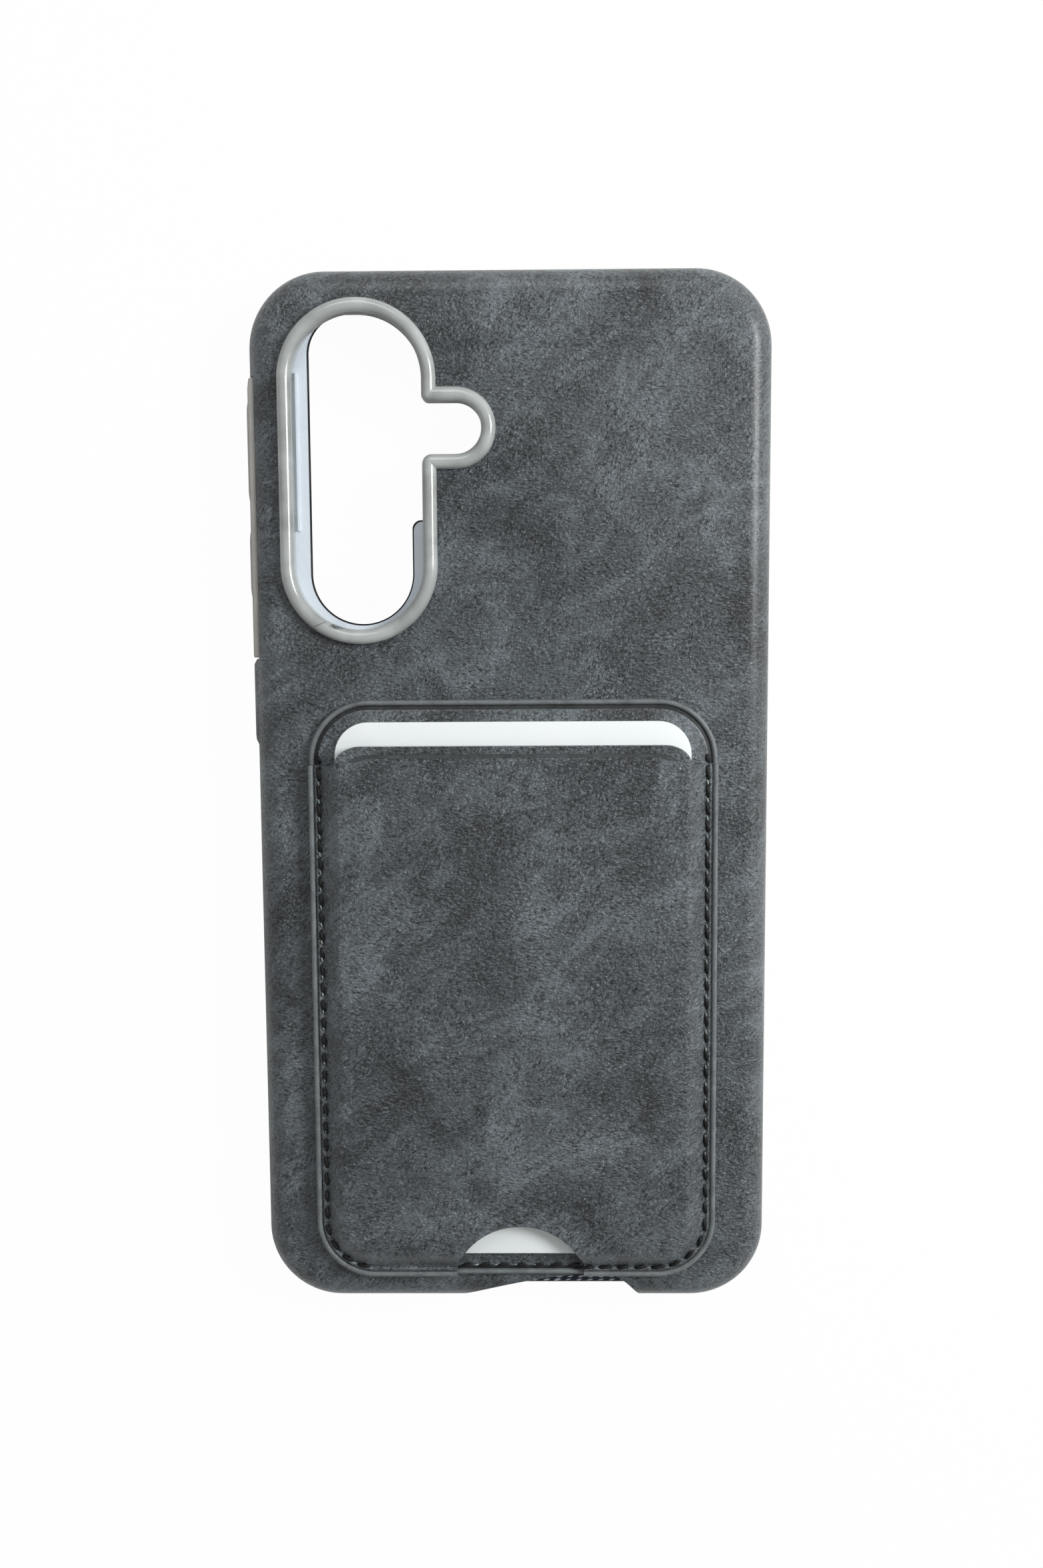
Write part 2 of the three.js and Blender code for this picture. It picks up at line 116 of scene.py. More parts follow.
def addStudio():
    scene = bpy.context.scene
    scene.view_settings.view_transform = "Standard"
    world = bpy.data.worlds.new("studioSky")
    scene.world = world
    world.use_nodes = True
    nodes, links = world.node_tree.nodes, world.node_tree.links
    nodes.clear()
    out = nodes.new("ShaderNodeOutputWorld")
    soft = nodes.new("ShaderNodeBackground")
    soft.inputs["Strength"].default_value = studio["sky"]
    white = nodes.new("ShaderNodeBackground")
    paths = nodes.new("ShaderNodeLightPath")
    seen = nodes.new("ShaderNodeMath")
    seen.operation = "MAXIMUM"
    links.new(paths.outputs["Is Camera Ray"], seen.inputs[0])
    links.new(paths.outputs["Is Transmission Ray"], seen.inputs[1])
    pick = nodes.new("ShaderNodeMixShader")
    links.new(seen.outputs[0], pick.inputs[0])
    links.new(soft.outputs[0], pick.inputs[1])
    links.new(white.outputs[0], pick.inputs[2])
    links.new(pick.outputs[0], out.inputs["Surface"])
    for name, place, size, power in studio["lamps"]:
        data = bpy.data.lights.new(name, "AREA")
        data.shape = "DISK"
        data.size = size
        data.energy = power
        lamp = bpy.data.objects.new(name, data)
        lamp.location = place
        lamp.rotation_euler = (-Vector(place)).to_track_quat("-Z", "Y").to_euler()
        scene.collection.objects.link(lamp)
    half = studio["floorSize"] / 2
    mesh = bpy.data.meshes.new("floor")
    floorZ = -0.02 * mm
    corners = [(-half, -half, floorZ), (half, -half, floorZ), (half, half, floorZ), (-half, half, floorZ)]
    mesh.from_pydata(corners, [], [(0, 1, 2, 3)])
    floor = bpy.data.objects.new("floor", mesh)
    scene.collection.objects.link(floor)
    material = bpy.data.materials.new("paleFloor")
    material.use_nodes = True
    nodes, links = material.node_tree.nodes, material.node_tree.links
    nodes.clear()
    out = nodes.new("ShaderNodeOutputMaterial")
    matt = nodes.new("ShaderNodeBsdfDiffuse")
    matt.inputs["Color"].default_value = (studio["floorTone"],) * 3 + (1,)
    glow = nodes.new("ShaderNodeEmission")
    paths = nodes.new("ShaderNodeLightPath")
    share = nodes.new("ShaderNodeMath")
    share.operation = "MULTIPLY"
    share.inputs[1].default_value = studio["floorGlow"]
    pick = nodes.new("ShaderNodeMixShader")
    links.new(paths.outputs["Is Camera Ray"], share.inputs[0])
    links.new(share.outputs[0], pick.inputs[0])
    links.new(matt.outputs[0], pick.inputs[1])
    links.new(glow.outputs[0], pick.inputs[2])
    links.new(pick.outputs[0], out.inputs["Surface"])
    mesh.materials.append(material)


addStudio()
print("camera, lamps and floor set")


# Shader helpers: every pattern reads object coordinates, in metres
class Finish:
    def __init__(self, name):
        self.material = bpy.data.materials.new(name)
        self.material.use_nodes = True
        self.nodes = self.material.node_tree.nodes
        self.links = self.material.node_tree.links
        self.shader = self.nodes["Principled BSDF"]
        self.place = self.nodes.new("ShaderNodeTexCoord").outputs["Object"]

    def set(self, **values):
        for socket, value in values.items():
            self.shader.inputs[socket.replace("_", " ")].default_value = value

    def link(self, output, socket):
        self.links.new(output, self.shader.inputs[socket])

    def noise(self, size, detail=3, rough=0.5, distort=0.0, stretch=(1, 1, 1), turn=0):
        node = self.nodes.new("ShaderNodeTexNoise")
        node.inputs["Scale"].default_value = 1 / (size * mm)
        node.inputs["Detail"].default_value = detail
        node.inputs["Roughness"].default_value = rough
        node.inputs["Distortion"].default_value = distort
        self.links.new(self.stretched(stretch, turn), node.inputs["Vector"])
        return node.outputs["Fac"]

    # Squeezes the pattern by stretch along axes turned by so many degrees
    def stretched(self, stretch, turn=0):
        if stretch == (1, 1, 1):
            return self.place
        mapping = self.nodes.new("ShaderNodeMapping")
        mapping.vector_type = "TEXTURE"
        mapping.inputs["Scale"].default_value = [1 / share for share in stretch]
        mapping.inputs["Rotation"].default_value = (0, 0, radians(turn))
        self.links.new(self.place, mapping.inputs["Vector"])
        return mapping.outputs[0]

    def cells(self, size, warp=None, stretch=(1, 1, 1)):
        node = self.nodes.new("ShaderNodeTexVoronoi")
        node.inputs["Scale"].default_value = 1 / (size * mm)
        source = self.stretched(stretch)
        if warp:
            shift = self.nodes.new("ShaderNodeVectorMath")
            shift.operation = "ADD"
            bend = self.nodes.new("ShaderNodeTexNoise")
            bend.inputs["Scale"].default_value = 1 / (warp[0] * mm)
            self.links.new(source, bend.inputs["Vector"])
            scale = self.nodes.new("ShaderNodeVectorMath")
            scale.operation = "SCALE"
            scale.inputs["Scale"].default_value = warp[1] * mm
            self.links.new(bend.outputs["Color"], scale.inputs[0])
            self.links.new(source, shift.inputs[0])
            self.links.new(scale.outputs[0], shift.inputs[1])
            source = shift.outputs[0]
        self.links.new(source, node.inputs["Vector"])
        return node.outputs["Distance"]

    def remap(self, value, low, high, toLow=0.0, toHigh=1.0, smooth=False):
        node = self.nodes.new("ShaderNodeMapRange")
        node.interpolation_type = "SMOOTHSTEP" if smooth else "LINEAR"
        for socket, number in zip(node.inputs[1:5], (low, high, toLow, toHigh)):
            socket.default_value = number
        self.links.new(value, node.inputs["Value"])
        return node.outputs["Result"]

    def math(self, operation, first, second):
        node = self.nodes.new("ShaderNodeMath")
        node.operation = operation
        for socket, value in zip(node.inputs, (first, second)):
            if isinstance(value, (int, float)):
                socket.default_value = value
            else:
                self.links.new(value, socket)
        return node.outputs[0]

    # The sum of (value, share) pairs, on top of a start value
    def weigh(self, *parts, start=0.0):
        total = start
        for value, share in parts:
            total = self.math("ADD", self.math("MULTIPLY", value, share), total)
        return total

    def blend(self, share, first, second):
        node = self.nodes.new("ShaderNodeMix")
        node.data_type = "RGBA"
        pairs = ((node.inputs[0], share), (node.inputs[6], first), (node.inputs[7], second))
        for socket, value in pairs:
            if isinstance(value, (int, float)):
                socket.default_value = value
            elif isinstance(value, tuple):
                socket.default_value = linear(value) if len(value) == 3 else value
            else:
                self.links.new(value, socket)
        return node.outputs[2]

    # A soft elliptical spot in plan: its middle and half sizes in mm, and its turn in degrees
    def spot(self, x, y, halfLength, halfWidth, turn):
        shift = self.nodes.new("ShaderNodeVectorMath")
        shift.operation = "SUBTRACT"
        shift.inputs[1].default_value = (x * mm, y * mm, 0)
        self.links.new(self.place, shift.inputs[0])
        spin = self.nodes.new("ShaderNodeVectorRotate")
        spin.rotation_type = "Z_AXIS"
        spin.inputs["Angle"].default_value = -radians(turn)
        self.links.new(shift.outputs[0], spin.inputs["Vector"])
        scale = self.nodes.new("ShaderNodeVectorMath")
        scale.operation = "MULTIPLY"
        scale.inputs[1].default_value = (1 / (halfLength * mm), 1 / (halfWidth * mm), 0)
        self.links.new(spin.outputs[0], scale.inputs[0])
        length = self.nodes.new("ShaderNodeVectorMath")
        length.operation = "LENGTH"
        self.links.new(scale.outputs[0], length.inputs[0])
        return self.remap(length.outputs["Value"], 1.0, 0.45, smooth=True)

    def bump(self, height, depth, strength=1.0, under=None):
        node = self.nodes.new("ShaderNodeBump")
        node.inputs["Strength"].default_value = strength
        node.inputs["Distance"].default_value = depth * mm
        self.links.new(height, node.inputs["Height"])
        if under:
            self.links.new(under, node.inputs["Normal"])
        return node.outputs[0]


# Charcoal coated leather: cloudy patches, pale scuffs, and fine wrinkles that run two ways by patch; wrinkle
# and pebble tops carry painted glints, and the wrinkle furrows and short crease marks painted shade
leatherLook = {
    "dark": (0.105, 0.117, 0.126),
    "light": (0.455, 0.492, 0.512),
    "paintedShade": (0.050, 0.057, 0.062),
    "cloud": 15.0,   # mm
    "scuff": 13.0,
    "mottle": 2.2,
    "lay": 10.0,
    "wrinkle": 0.47,
    "pebble": 0.50,
    "waves": 4.5,
    "layTurns": (6, 48),   # degrees
    "scuffTurn": 38,
    "veinWidth": 0.055,
    "grainDepth": 0.15,
    "waveDepth": 0.30,
    "lift": -0.15,
    "shares": {"cloud": 0.47, "vein": 0.26, "mottle": 0.16, "wrinkle": 0.26, "glint": 0.24, "pebble": 0.22},
    "furrowShadeShare": 0.9,
    "creaseShadeShare": 0.6,
}


def makeLeather(name, creaseShades=()):
    look, shares = leatherLook, leatherLook["shares"]
    finish = Finish(name)
    cloud = finish.noise(look["cloud"], 4, 0.55, 0.8)
    scuff = finish.noise(look["scuff"], 4, 0.6, 0.9, (0.5, 1.3, 1.0), look["scuffTurn"])
    offMiddle = finish.math("ABSOLUTE", finish.math("SUBTRACT", scuff, 0.5), 0.0)
    vein = finish.remap(offMiddle, look["veinWidth"], 0.0, smooth=True)
    mottle = finish.noise(look["mottle"], 4, 0.6, 0.6)
    lay = finish.remap(finish.noise(look["lay"], 2, 0.5), 0.42, 0.58)
    first, second = (finish.noise(look["wrinkle"], 2, 0.55, 0.5, (0.74, 1.3, 1.0), turn)
                     for turn in look["layTurns"])
    wrinkle = finish.math("ADD", finish.math("MULTIPLY", first, lay),
                          finish.math("MULTIPLY", second, finish.math("SUBTRACT", 1.0, lay)))
    pebble = finish.cells(look["pebble"], (0.8, 0.5), (0.8, 1.25, 1.0))
    tone = finish.weigh(
        (finish.remap(cloud, 0.3, 0.7), shares["cloud"]),
        (finish.math("MULTIPLY", vein, finish.remap(cloud, 0.3, 0.55)), shares["vein"]),
        (finish.remap(mottle, 0.25, 0.75), shares["mottle"]),
        (finish.remap(wrinkle, 0.34, 0.66), shares["wrinkle"]),
        # painted glints on the wrinkle tops
        (finish.remap(wrinkle, 0.56, 0.68), shares["glint"]),
        # pebble tops painted lighter: painted glints
        (finish.remap(pebble, 0.55, 0.1), shares["pebble"]),
        start=look["lift"])
    colour = finish.blend(tone, look["dark"], look["light"])
    # darker in the wrinkle furrows: painted shade
    furrowShade = finish.math("MULTIPLY", finish.remap(wrinkle, 0.45, 0.30), look["furrowShadeShare"])
    colour = finish.blend(furrowShade, colour, look["paintedShade"])
    # painted shade of the crease marks beside the rim
    for place in creaseShades:
        crease = finish.math("MULTIPLY", finish.spot(*place), look["creaseShadeShare"])
        colour = finish.blend(crease, colour, look["paintedShade"])
    finish.link(colour, "Base Color")
    finish.link(finish.remap(wrinkle, 0.3, 0.7, 0.44, 0.30), "Roughness")
    height = finish.weigh((finish.remap(pebble, 0.7, 0.0), 0.6), (wrinkle, 3.0))
    waves = finish.bump(finish.noise(look["waves"], 3, 0.55, 0.5), look["waveDepth"], 0.5)
    finish.link(finish.bump(height, look["grainDepth"], 1.0, waves), "Normal")
    finish.set(Specular_IOR_Level=0.6, Coat_Weight=0.45, Coat_Roughness=0.3)
    return finish.material


def makeBead(name, dark=(0.36, 0.375, 0.385), light=(0.50, 0.525, 0.53)):
    finish = Finish(name)
    mottle = finish.noise(3.2, 4, 0.6, 0.5)
    fine = finish.noise(0.35, 3, 0.6)
    tone = finish.weigh((mottle, 0.6), (fine, 0.4))
    finish.link(finish.blend(finish.remap(tone, 0.35, 0.65), dark, light), "Base Color")
    finish.link(finish.remap(mottle, 0.3, 0.7, 0.44, 0.58), "Roughness")
    finish.link(finish.bump(fine, 0.06, 0.6), "Normal")
    finish.set(Specular_IOR_Level=0.45)
    return finish.material


# Glossy rim: even and bright, with a rubbed smudge and a fine seam at its lower left
rimLook = {
    "low": (0.61, 0.625, 0.615),
    "high": (0.73, 0.75, 0.745),
    "smudge": (0.24, 0.25, 0.26),
    "smudgePlace": (-26.6, 28.2, 2.3, 0.75, 8),   # x, y, half sizes in mm and turn in degrees
    "seam": (-30.0, 28.3, 1.9, 0.13, 22),
}


def makeRimGloss():
    look = rimLook
    finish = Finish("glossyRim")
    cloud = finish.noise(7, 3, 0.5, 0.4)
    fine = finish.noise(0.5, 2, 0.5)
    colour = finish.blend(finish.remap(cloud, 0.35, 0.65), look["low"], look["high"])
    patch = finish.math("MULTIPLY", finish.spot(*look["smudgePlace"]), finish.remap(fine, 0.3, 0.6, 0.5, 1.0))
    colour = finish.blend(patch, colour, look["smudge"])
    colour = finish.blend(finish.math("MULTIPLY", finish.spot(*look["seam"]), 0.55), colour, look["smudge"])
    finish.link(colour, "Base Color")
    finish.link(finish.remap(cloud, 0.3, 0.7, 0.16, 0.28), "Roughness")
    finish.link(finish.bump(finish.noise(2.6, 2, 0.5), 0.05, 0.5), "Normal")
    finish.set(Specular_IOR_Level=0.6, Coat_Weight=0.4, Coat_Roughness=0.1)
    return finish.material


def makeMoulded(name, low, high, rough, speckSize=0.5, depth=0.02, gloss=0.5):
    finish = Finish(name)
    cloud = finish.noise(9, 3, 0.5)
    speck = finish.noise(speckSize, 3, 0.6)
    tone = finish.weigh((cloud, 0.7), (speck, 0.3))
    finish.link(finish.blend(finish.remap(tone, 0.35, 0.65), low, high), "Base Color")
    finish.link(finish.remap(speck, 0.3, 0.7, rough - 0.06, rough + 0.06), "Roughness")
    finish.link(finish.bump(speck, depth, 0.6), "Normal")
    finish.set(Specular_IOR_Level=gloss)
    return finish.material


# Painted shade of short crease marks in the leather beside the rim: x, y, half sizes in mm and turn in
# degrees
coverCreaseShades = ((-33.3, 23.9, 2.1, 0.22, 20), (-34.6, 23.2, 1.2, 0.16, 12))
leather = makeLeather("charcoalLeather")
coverLeather = makeLeather("coverLeather", creaseShades=coverCreaseShades)
edgeBead = makeBead("creasedEdgeBead")
# Painted shade in the crease below the pocket's mouth
mouthCreaseShade = makeBead("mouthCreaseShade", (0.21, 0.222, 0.228), (0.32, 0.334, 0.341))
# Painted shade for the crease strips inside the base panel's edge bead
paintedCreaseShade = makeBead("creaseShade", (0.13, 0.137, 0.14), (0.24, 0.25, 0.255))
cutEdge = makeBead("cutLeatherEdge", (0.30, 0.30, 0.295), (0.52, 0.53, 0.52))
frameGrey = makeMoulded("warmGreyMoulding", (0.62, 0.61, 0.59), (0.70, 0.695, 0.675), 0.5)
shellBlue = makeMoulded("paleShell", (0.85, 0.885, 0.92), (0.89, 0.925, 0.955), 0.34)
rimGloss = makeRimGloss()
liningDark = makeMoulded("microfibre", (0.11, 0.115, 0.125), (0.20, 0.205, 0.22), 0.9, 0.12, 0.08, 0.2)
cardWhite = makeMoulded("whiteCard", (0.965, 1.0, 0.995), (0.98, 1.0, 0.998), 0.4, 0.2, 0.004)
threadBlack = makeMoulded("blackThread", (0.012, 0.012, 0.014), (0.06, 0.06, 0.062), 0.6, 0.12, 0.05, 0.4)
# Pale thread bits between the black stitches, placed as painted glints
glintThread = makeMoulded("paleGlintThread", (0.42, 0.46, 0.45), (0.66, 0.70, 0.68), 0.6, 0.12, 0.05, 0.4)
tapeDark = makeMoulded("tapeGround", (0.13, 0.15, 0.18), (0.26, 0.29, 0.33), 0.8, 0.15, 0.06, 0.3)
tapePale = makeMoulded("tapePicks", (0.78, 0.81, 0.85), (0.93, 0.95, 0.98), 0.7, 0.15, 0.06, 0.3)
print("finishes made")


# Outlines are rings of right-angled corners (x, y, fillet), counter-clockwise, in mm
def rectangle(width, length, fillet, x=0.0, y=0.0):
    signs = ((-1, -1), (1, -1), (1, 1), (-1, 1))
    return [(x + sx * width / 2, y + sy * length / 2, fillet) for sx, sy in signs]


def directions(outline, i):
    corner = Vector(outline[i][:2])
    into = (corner - Vector(outline[i - 1][:2])).normalized()
    away = (Vector(outline[(i + 1) % len(outline)][:2]) - corner).normalized()
    return corner, into, away


def grow(outline, by):
    grown = []
    for i, (x, y, fillet) in enumerate(outline):
        _, into, away = directions(outline, i)
        turn = 1 if into.cross(away) > 0 else -1
        grown.append((x + by * (into.y + away.y), y - by * (into.x + away.x), max(fillet + by * turn, 0.02)))
    return grown


def stepsOf(outline, spacing):
    steps = []
    for i, (_, _, fillet) in enumerate(outline):
        corner, _, _ = directions(outline, i)
        after = outline[(i + 1) % len(outline)]
        run = (Vector(after[:2]) - corner).length - fillet - after[2]
        steps.append((max(6, round(fillet * pi / 2 / spacing)), max(1, round(run / spacing))))
    return steps


def trace(outline, steps):
    points = []
    for i, (_, _, fillet) in enumerate(outline):
        corner, into, away = directions(outline, i)
        arcSteps, runSteps = steps[i]
        centre = corner + (away - into) * fillet
        for step in range(arcSteps + 1):
            angle = step / arcSteps * pi / 2
            points.append(centre + fillet * (into * sin(angle) - away * cos(angle)))
        last = corner + away * fillet
        nextCorner, nextInto, _ = directions(outline, (i + 1) % len(outline))
        start = nextCorner - nextInto * outline[(i + 1) % len(outline)][2]
        points += [last.lerp(start, step / runSteps) for step in range(1, runSteps)]
    return points


def quarter(centre, z, width, height, start, end, steps):
    turns = [(start + (end - start) * i / steps) * pi / 2 for i in range(steps + 1)]
    return [(centre + width * cos(turn), z + height * sin(turn)) for turn in turns]


def addMesh(name, points, faces, materials=()):
    mesh = bpy.data.meshes.new(name)
    mesh.from_pydata([Vector(point) * mm for point in points], [], faces)
    for material in materials:
        mesh.materials.append(material)
    piece = bpy.data.objects.new(name, mesh)
    bpy.context.scene.collection.objects.link(piece)
    return piece


# A skin through one outline at many (growth, height) pairs; bands gives each strip its material
def loft(name, outline, profile, materials, spacing=1.0, closed=False, shape=None, bands=None):
    steps = stepsOf(outline, spacing)
    rings = [[(p.x, p.y, z) for p in trace(grow(outline, by), steps)] for by, z in profile]
    if shape:
        rings = [[shape(*point, by) for point in ring] for ring, (by, _) in zip(rings, profile)]
    count = len(rings[0])
    joins = len(rings) if closed else len(rings) - 1
    faces = []
    for ring in range(joins):
        lower, upper = ring * count, (ring + 1) % len(rings) * count
        faces += [(lower + i, lower + (i + 1) % count, upper + (i + 1) % count, upper + i)
                  for i in range(count)]
    if not closed:
        faces.append(tuple(range(count))[::-1])
        faces.append(tuple(range((len(rings) - 1) * count, len(rings) * count)))
    piece = addMesh(name, [point for ring in rings for point in ring], faces, materials)
    for i, polygon in enumerate(piece.data.polygons):
        if bands and i < joins * count:
            polygon.material_index = bands[i // count]
    return piece


def prism(name, plan, low, high, materials=()):
    count = len(plan)
    points = [(x, y, low) for x, y in plan] + [(x, y, high) for x, y in plan]
    faces = [(i, (i + 1) % count, (i + 1) % count + count, i + count) for i in range(count)]
    faces += [tuple(range(count))[::-1], tuple(range(count, 2 * count))]
    return addMesh(name, points, faces, materials)


def applyModifiers(piece):
    bpy.context.view_layer.update()
    evaluated = piece.evaluated_get(bpy.context.evaluated_depsgraph_get())
    mesh = bpy.data.meshes.new_from_object(evaluated)
    old = piece.data
    piece.modifiers.clear()
    piece.data = mesh
    bpy.data.meshes.remove(old)


def combine(piece, *tools, way="DIFFERENCE"):
    for tool in tools:
        modifier = piece.modifiers.new(way.lower(), "BOOLEAN")
        modifier.operation = way
        modifier.solver = "EXACT"
        modifier.material_mode = "TRANSFER"
        modifier.object = tool
        applyModifiers(piece)
        bpy.data.objects.remove(tool)
    return piece


def soften(piece, width, angle=50, segments=2):
    modifier = piece.modifiers.new("soften", "BEVEL")
    modifier.limit_method = "ANGLE"
    modifier.angle_limit = radians(angle)
    modifier.width = width * mm
    modifier.segments = segments
    modifier.harden_normals = False
    applyModifiers(piece)


def shade(piece, angle=38):
    for polygon in piece.data.polygons:
        polygon.use_smooth = True
    piece.data.set_sharp_from_angle(angle=radians(angle))


def settle(piece, slot, *nodes):
    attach(piece, "root")
    if nodes:
        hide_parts(*nodes)
    print("piece", piece.name, len(piece.data.polygons), "faces")


# The case's own outline, and the camera opening with its tab for the flash
caseShape = {
    "corner": 11.95,
    "backEdge": 4.0,
    "leather": 0.6,
    "glue": 0.05,
    "bandTop": 4.2,
    "frameWall": 1.15,
    "gap": 0.15,
    "lipOverhang": 1.3,
    "lipHeight": 1.0,
    "lipEdge": 0.9,
}
caseOutline = rectangle(caseWidth, caseLength, caseShape["corner"])

cameraShape = {
    "rim": 2.25,
    "sleeve": 1.0,
    "sleeveGap": 0.1,
    "width": 20.05,
    "flashHeight": 8.0,
    "flashFromTop": 17.5,
    "filletUpper": 1.0,
    "filletLower": 1.5,
    "ledge": 0.5,
    "ledgeLeft": 2.2,
    "ledgeRight": 1.55,
    "ledgeBottom": 0.6,
    "ledgeUpToFlash": 10.2,
    "ledgeStepCurve": 1.4,
    "ledgeTopCorner": 6.0,
    "liningPeek": 0.25,
}
openingLeft = rimLow.x + cameraShape["rim"]
openingRight = openingLeft + cameraShape["width"]
openingBottom = rimLow.y + cameraShape["rim"]
openingTop = rimHigh.y - cameraShape["rim"]
flashRight = rimHigh.x - cameraShape["rim"]
flashY = openingTop - cameraShape["flashFromTop"]
flashBottom = flashY - cameraShape["flashHeight"] / 2
flashTop = flashY + cameraShape["flashHeight"] / 2


def flashTab():
    end = cameraShape["flashHeight"] / 2 - 0.02
    return [
        (openingRight, flashBottom, cameraShape["filletLower"]),
        (flashRight, flashBottom, end),
        (flashRight, flashTop, end),
        (openingRight, flashTop, cameraShape["filletUpper"]),
    ]


slotEnd = cameraShape["width"] / 2 - 0.02
openingOutline = [
    (openingLeft, openingBottom, slotEnd), (openingRight, openingBottom, slotEnd), *flashTab(),
    (openingRight, openingTop, slotEnd), (openingLeft, openingTop, slotEnd),
]
ledgeLeft = openingLeft + cameraShape["ledgeLeft"]
ledgeRight = openingRight - cameraShape["ledgeRight"]
ledgeBottom = openingBottom + cameraShape["ledgeBottom"]
ledgeEnd = (ledgeRight - ledgeLeft) / 2 - 0.02
ledgeStep = flashBottom - cameraShape["ledgeUpToFlash"]


def ledgeOutline(peek):
    left, right, bottom = ledgeLeft + peek, ledgeRight - peek, ledgeBottom + peek
    step = ledgeStep + peek
    return [
        (left, bottom, ledgeEnd - peek), (right, bottom, ledgeEnd - peek),
        (right, step, cameraShape["ledgeStepCurve"]), (openingRight, step, 0.02), *flashTab(),
        (openingRight, openingTop, slotEnd), (left, openingTop, cameraShape["ledgeTopCorner"]),
    ]


# The lopsided port opening in the bottom edge
portShape = {
    "left": -9.5,
    "right": 20.7,
    "peak": 13.6,
    "depth": 4.75,
    "setback": 0.4,
    "bridge": 1.5,
    "steps": 24,
}


def bezier(a, b, c, d, steps):
    points = []
    for i in range(1, steps + 1):
        t = i / steps
        weights = ((1 - t) ** 3, 3 * t * (1 - t) ** 2, 3 * t * t * (1 - t), t ** 3)
        points.append(tuple(sum(w * p[axis] for w, p in zip(weights, (a, b, c, d))) for axis in (0, 1)))
    return points


def portPlan(margin):
    bottom = -caseTop
    left, right = portShape["left"] - margin, portShape["right"] + margin
    peakX, peak = portShape["peak"], bottom + portShape["depth"] + margin
    rise, fall = peakX - left, right - peakX
    half = bottom + portShape["depth"] / 2
    flank = bezier((right, bottom), (right - fall * 0.25, half - 0.28), (right - fall * 0.4, peak),
                   (peakX, peak), portShape["steps"] // 2)
    slope = bezier((peakX, peak), (peakX - rise * 0.35, peak), (left + rise * 0.2, half),
                   (left, bottom), portShape["steps"])
    return [(left, bottom - 2), (right, bottom - 2), (right, bottom), *flank, *slope]


# Leather skin over the back, its round edges and the upper sides
keyShape = {
    "railStart": 15.95,
    "window": 44.0,
    "windowTop": 9.1,
    "railProud": 0.2,
    "railTail": 44.0,
    "powerFrom": 0.3,
    "powerLength": 12.7,
    "powerLow": 4.6,
    "powerHigh": 8.5,
    "powerProud": 0.45,
    "keyProud": 0.4,
    "keyHeight": 5.4,
    "keys": ((3.0, 17.0), (23.0, 12.0)),
}
railTop = caseTop - keyShape["railStart"]
windowBottom = railTop - keyShape["window"]


def ramp(value, low, high):
    share = min(max((value - low) / (high - low), 0), 1)
    return share * share * (3 - 2 * share)


def powerBump(x, y, z, by):
    top = windowBottom - keyShape["powerFrom"]
    along = ramp(y, top - keyShape["powerLength"] - 0.25, top - keyShape["powerLength"] + 0.35)
    along *= 1 - ramp(y, top - 0.35, top + 0.25)
    across = ramp(z, keyShape["powerLow"], keyShape["powerLow"] + 0.8)
    across *= 1 - ramp(z, keyShape["powerHigh"] - 1.0, keyShape["powerHigh"] + 0.2)
    outside = by > -caseShape["leather"] / 2 and x < caseLeft + 1
    return x - keyShape["powerProud"] * along * across * outside, y, z


def makeLeatherSkin():
    edge, thick = caseShape["backEdge"], caseShape["leather"]
    bottom = caseShape["bandTop"] + caseShape["glue"]
    centreZ = backZ - edge
    sideSteps = 9
    side = [(0.0, bottom + 0.2 + (centreZ - bottom - 0.2) * i / sideSteps) for i in range(sideSteps)]
    profile = [
        *quarter(-edge, centreZ, edge - thick, edge - thick, 1, 0, 8),
        (-thick, bottom + 0.12), (-thick + 0.12, bottom), (-0.2, bottom), (-0.06, bottom + 0.06),
        *side,
        *quarter(-edge, centreZ, edge, edge, 0, 1, 14),
    ]
    skin = loft("leatherSkin", caseOutline, profile, [coverLeather], 0.8, shape=powerBump)
    hole = cameraShape["sleeve"] + cameraShape["sleeveGap"]
    holePlan = [(p.x, p.y) for p in trace(grow(openingOutline, hole), stepsOf(openingOutline, 0.8))]
    inside = caseLeft + 2.2
    outside = caseLeft - 2
    window = [(outside, windowBottom), (inside, windowBottom), (inside, railTop), (outside, railTop)]
    combine(skin, prism("hole", holePlan, 0, backZ + 2),
            prism("window", window, 0, keyShape["windowTop"]),
            prism("port", portPlan(0), 0, backZ + 2))
    soften(skin, 0.14, 55)
    shade(skin)
    settle(skin, "leather", "leather_cover")


makeLeatherSkin()


# Moulded frame: side walls, front lip, key rail, keys and the bridge under the port
def sidePad(name, y, z, length, height, x, proud):
    outline = rectangle(length, height, height / 2 - 0.02)
    pad = loft(name, outline, [(0, -1), *quarter(-2 * proud, 0, 2 * proud, proud, 0, 1, 6)], (), 0.6)
    turn = Matrix.Rotation(-pi / 2, 4, "Z") @ Matrix.Rotation(pi / 2, 4, "X")
    pad.data.transform(Matrix.Translation(Vector((x, y, z)) * mm) @ turn)
    return pad


